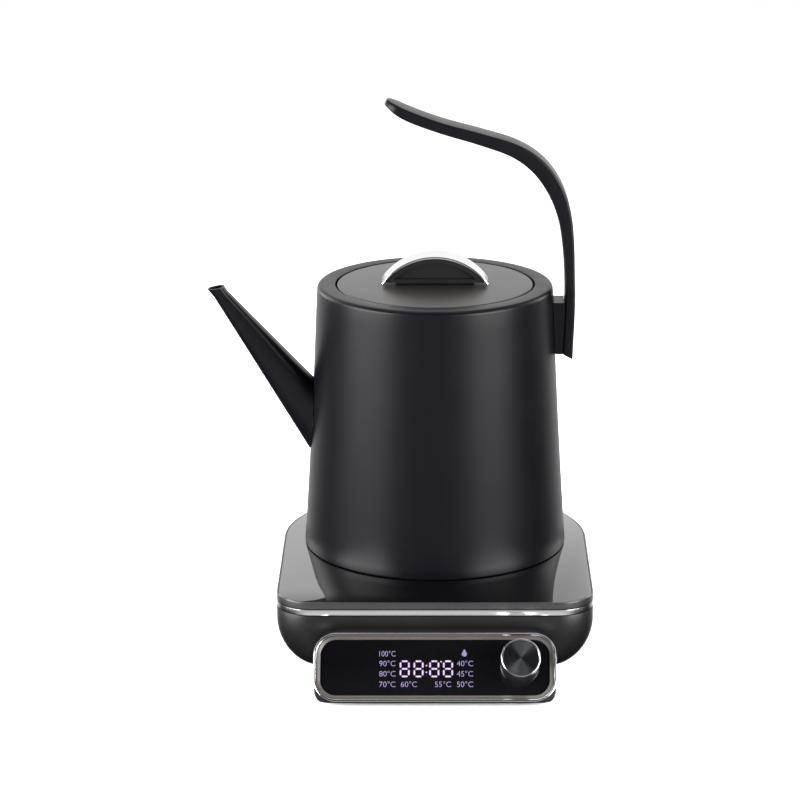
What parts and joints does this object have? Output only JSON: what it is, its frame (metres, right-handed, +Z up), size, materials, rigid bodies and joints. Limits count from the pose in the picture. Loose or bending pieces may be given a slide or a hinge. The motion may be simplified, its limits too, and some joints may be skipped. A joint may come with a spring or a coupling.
{
  "type": "electric kettle",
  "caption": "Tapered black kettle with a long straight spout and an open swan-neck handle, lifting off a heating base with a tilted display and a knob.",
  "frame": {"origin": "centre of the whole object's box, on the table under the feet, with the kettle standing on its base", "axes": "+X towards the handle's side, -X towards the spout's tip, -Y towards the display, +Z up"},
  "size_m": [0.2104, 0.2412, 0.2992],
  "materials": {
    "black_coat": "satin black baked coating on stainless steel",
    "lid_coat": "satin dark grey coating",
    "black_plastic": "matte moulded black",
    "rim_coat": "satin black rim round the glass",
    "grey_plastic": "moulded grey",
    "white_plastic": "moulded natural white",
    "black_glass": "opaque gloss black",
    "chrome": "polished",
    "dark_steel": "radially brushed, dark",
    "bezel": "satin taupe",
    "steel": "brushed",
    "silicone": "translucent grey silicone",
    "rubber": "matte black",
    "circuit_board": "green solder mask"
  },
  "bodies": {
    "base": {"base_housing": "black_plastic", "bottom_cover": "black_plastic", "rubber_foot_1": "rubber", "rubber_foot_2": "rubber", "rubber_foot_3": "rubber", "rubber_foot_4": "rubber", "base_screw_1": "steel", "base_screw_2": "steel", "base_screw_3": "steel", "base_screw_4": "steel", "chrome_band": "chrome", "top_deck": "rim_coat", "glass_top": "black_glass", "water_inlet": "white_plastic", "cord_gland": "rubber", "base_coupler": "grey_plastic", "water_riser": "white_plastic", "pump_volute": "white_plastic", "pump_motor": "steel", "riser_hose": "silicone", "inlet_hose": "silicone", "power_board": "circuit_board", "power_relay": "white_plastic", "control_pod": "black_plastic", "chrome_frame": "chrome", "panel_bezel": "bezel", "display_glass": "black_glass", "display_board": "circuit_board", "digit_module": "white_plastic", "encoder_body": "steel"},
    "impeller": {"pump_impeller": "white_plastic"},
    "knob_rotor": {"encoder_rotor": "grey_plastic"},
    "knob": {"knob_shell": "chrome", "knob_face": "dark_steel", "encoder_shaft": "steel"},
    "nozzle": {"nozzle_sleeve": "white_plastic", "nozzle_seal": "silicone"},
    "kettle": {"body_shell": "black_coat", "spout": "black_coat", "spout_strainer": "steel", "bottom_plate": "steel", "heating_element": "steel", "thermostat": "white_plastic", "temperature_sensor": "steel", "kettle_coupler": "black_plastic", "kettle_bottom_cover": "black_plastic", "inlet_fitting": "steel", "valve_cage": "steel", "valve_spring": "steel", "handle": "black_coat", "handle_bracket": "black_coat", "handle_screw_1": "steel", "handle_screw_2": "steel"},
    "valve": {"valve_poppet": "silicone"},
    "lid": {"lid_plate": "lid_coat", "lid_seal": "silicone", "grip_body": "black_plastic", "grip_chrome": "chrome", "grip_screw_1": "steel", "grip_screw_2": "steel"}
  },
  "joints": [
    {"name": "kettle_swivel", "type": "hinge", "parent": "base", "child": "nozzle", "pos_m": [0.0202, 0.02424, 0.048], "axis": [0, 0, 1], "continuous": true},
    {"name": "kettle_lift", "type": "slide", "parent": "nozzle", "child": "kettle", "axis": [0, 0, 1], "range_m": [0, 0.12]},
    {"name": "lid_lift", "type": "slide", "parent": "kettle", "child": "lid", "axis": [0, 0, 1], "range_m": [0, 0.045]},
    {"name": "valve_lift", "type": "slide", "parent": "kettle", "child": "valve", "axis": [0, 0, 1], "range_m": [0, 0.003], "stiffness_N_per_m": 100, "springref_m": -0.002, "deforming": ["valve_spring"]},
    {"name": "knob_turn", "type": "hinge", "parent": "base", "child": "knob_rotor", "pos_m": [0.0652, -0.10416, 0.02138], "axis": [0, -0.809, 0.5878], "continuous": true},
    {"name": "knob_press", "type": "slide", "parent": "knob_rotor", "child": "knob", "axis": [0, 0.809, -0.5878], "range_m": [0, 0.0008], "stiffness_N_per_m": 1200, "springref_m": -0.0004},
    {"name": "impeller_spin", "type": "hinge", "parent": "base", "child": "impeller", "pos_m": [-0.0138, 0.05424, 0.015], "axis": [0, 0, 1], "continuous": true}
  ]
}
